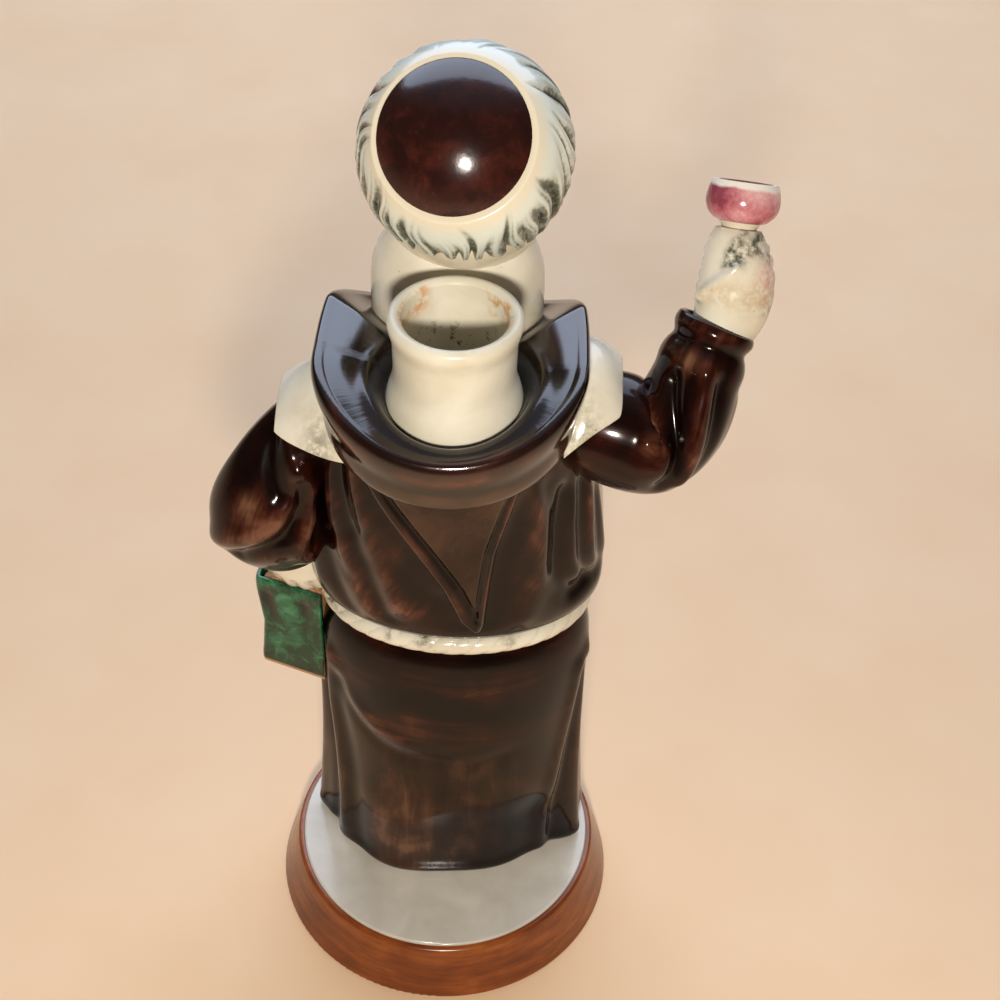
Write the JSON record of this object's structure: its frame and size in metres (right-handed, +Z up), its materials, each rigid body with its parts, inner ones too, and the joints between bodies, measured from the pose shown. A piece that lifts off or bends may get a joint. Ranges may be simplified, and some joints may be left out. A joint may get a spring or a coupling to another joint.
{
  "type": "figural decanter",
  "caption": "Glazed ceramic decanter shaped as a standing robed figure raising a goblet, on a round plinth, with an open bottle neck rising from the folded hood behind the head.",
  "frame": {"origin": "centre of the underside of the plinth", "axes": "+Z up, the figure faces -Y, its right hand with the goblet is toward -X"},
  "size_m": [0.1561, 0.117, 0.3021],
  "materials": {
    "robe_glaze": "glossy dark brown glaze, brushed",
    "cap_glaze": "glossy dark maroon-brown glaze",
    "plinth_glaze": "rust-brown glaze, brushed",
    "white_glaze": "glossy white glaze",
    "cream_glaze": "ivory glaze",
    "rope_glaze": "ivory glaze with grey marks",
    "skin_glaze": "pale flesh-coloured glaze",
    "hair_glaze": "ivory glaze with grey brush strokes",
    "green_glaze": "mottled green glaze",
    "page_glaze": "tan glaze",
    "pink_glaze": "mottled pink glaze with a white rim"
  },
  "bodies": {
    "root": {"plinth": "plinth_glaze", "plinth_plate": "white_glaze", "robe_skirt": "robe_glaze", "robe_trunk": "robe_glaze", "rope_belt": "rope_glaze", "spout": "cream_glaze", "figure_neck": "skin_glaze", "hood_collar": "robe_glaze", "hood_tail": "robe_glaze", "cape_left": "cream_glaze", "cape_right": "cream_glaze", "head": "skin_glaze", "hair_wreath": "hair_glaze", "skull_cap": "cap_glaze", "left_sleeve": "robe_glaze", "left_hand": "skin_glaze", "book_cover": "green_glaze", "book_pages": "page_glaze", "right_sleeve": "robe_glaze", "right_hand": "skin_glaze", "goblet_stem": "white_glaze", "goblet_bowl": "pink_glaze"}
  },
  "joints": []
}
